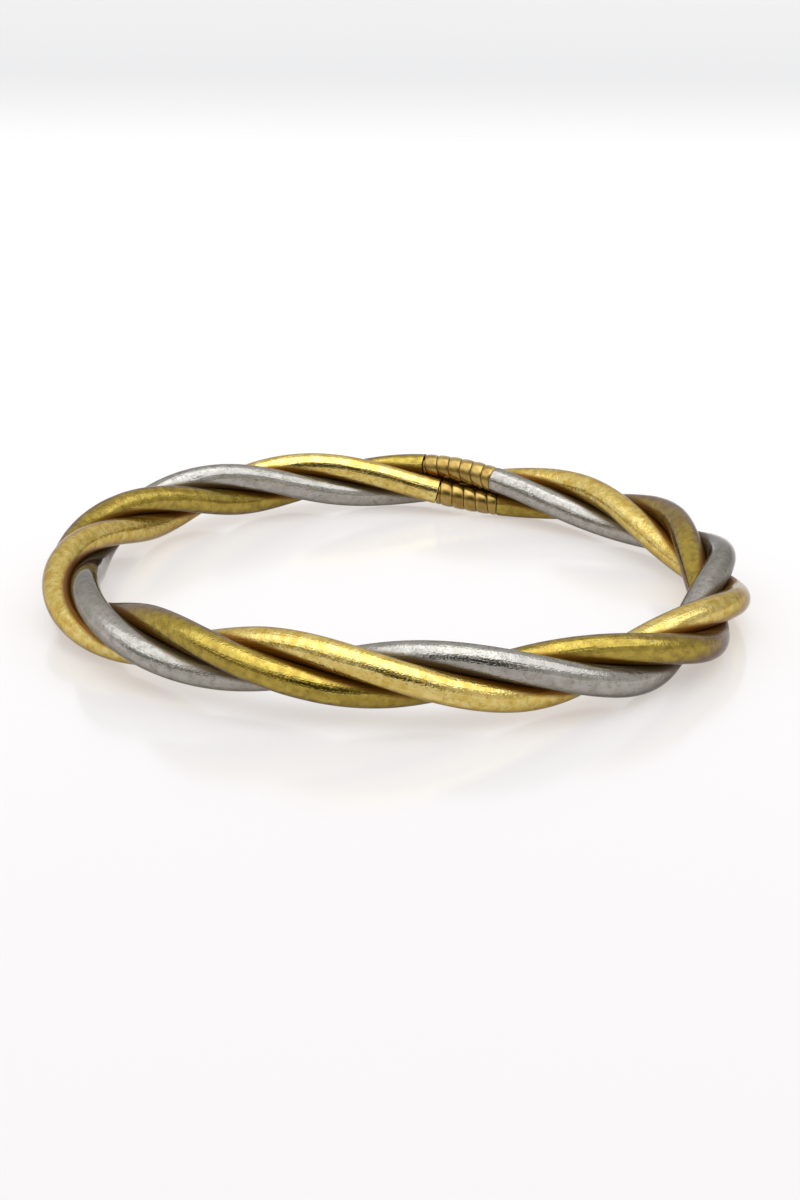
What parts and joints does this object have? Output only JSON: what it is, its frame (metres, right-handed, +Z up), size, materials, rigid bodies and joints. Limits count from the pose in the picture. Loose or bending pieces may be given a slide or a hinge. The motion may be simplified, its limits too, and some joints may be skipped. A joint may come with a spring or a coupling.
{
  "type": "twisted wire bangle",
  "caption": "Closed round bangle of silver, bright gold and old gold strands twisted together, joined end to end under ribbed windings.",
  "frame": {"origin": "middle of the bangle's outline, on the surface that it rests on", "axes": "+Z up, through the wrist hollow; +X to the right and +Y to the back as the picture shows it, with the joins at the back"},
  "size_m": [0.0792, 0.0784, 0.0088],
  "materials": {
    "silver_leaf": "silver metal leaf under a clear glossy skin",
    "gold_leaf": "bright gold metal leaf under a clear glossy skin",
    "old_gold_leaf": "olive gold metal leaf under a clear glossy skin",
    "winding_wire": "polished, with rounded edges"
  },
  "bodies": {
    "root": {"strand_silver": "silver_leaf", "strand_gold": "gold_leaf", "strand_old_gold": "old_gold_leaf", "winding_upper": "winding_wire", "winding_inner": "winding_wire", "winding_outer": "winding_wire"}
  },
  "joints": []
}
